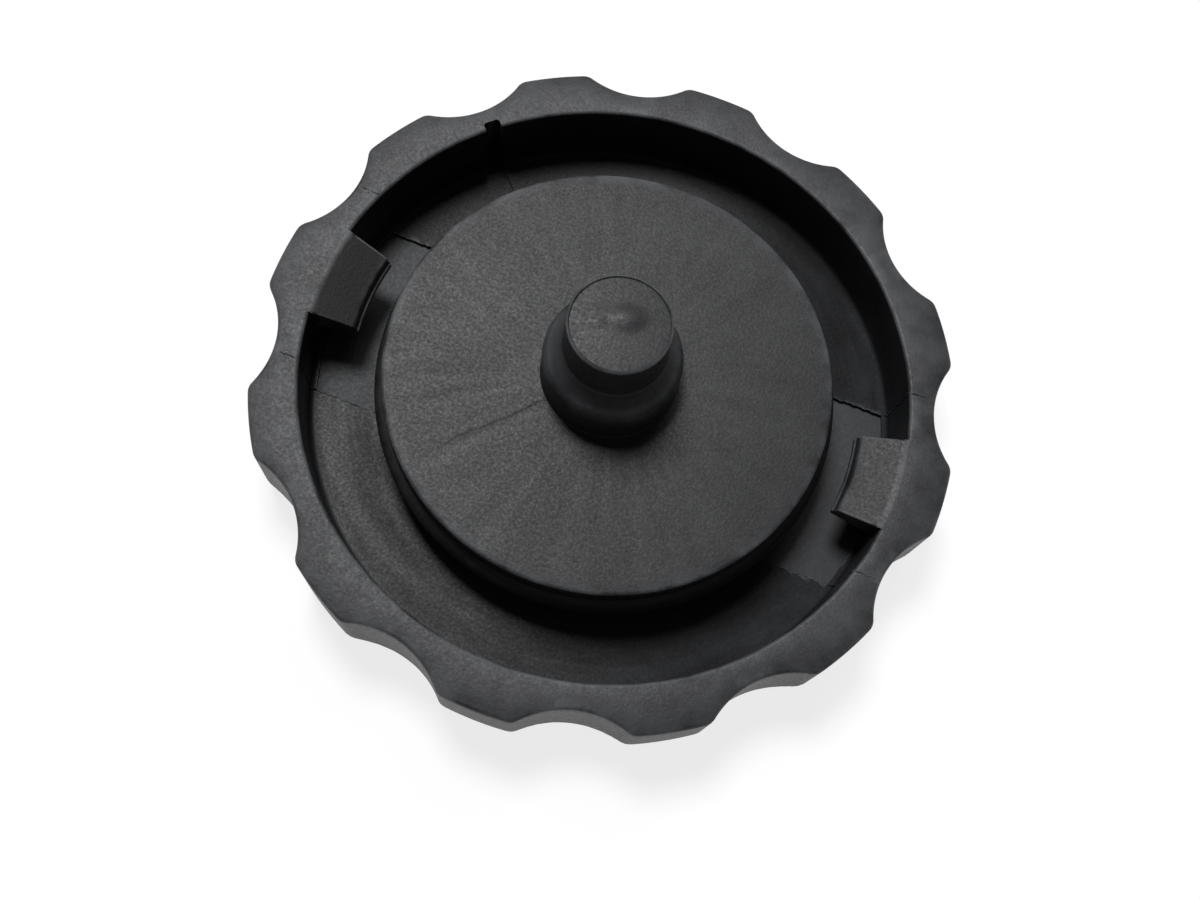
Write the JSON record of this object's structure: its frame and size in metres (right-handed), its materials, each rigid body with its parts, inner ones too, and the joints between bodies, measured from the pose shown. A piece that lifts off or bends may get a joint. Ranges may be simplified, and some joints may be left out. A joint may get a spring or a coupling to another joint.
{
  "type": "power steering reservoir cap",
  "caption": "Round bayonet cap for a fluid reservoir, lying crown down: scalloped grip skirt, inner lugs, and a sealed centre plug with a stepped peg.",
  "frame": {"origin": "centre of the crown's flat face, which the cap lies on", "axes": "+Z out of the cap's open side along its axis, +X through one bayonet lug"},
  "size_m": [0.0604, 0.0604, 0.0195],
  "materials": {
    "body_plastic": "matte moulded, worn grey",
    "plug_plastic": "matte moulded, worn grey",
    "ring_rubber": "oiled black rubber"
  },
  "bodies": {
    "root": {"cap_body": "body_plastic", "centre_plug": "plug_plastic", "sealing_ring": "ring_rubber"}
  },
  "joints": []
}
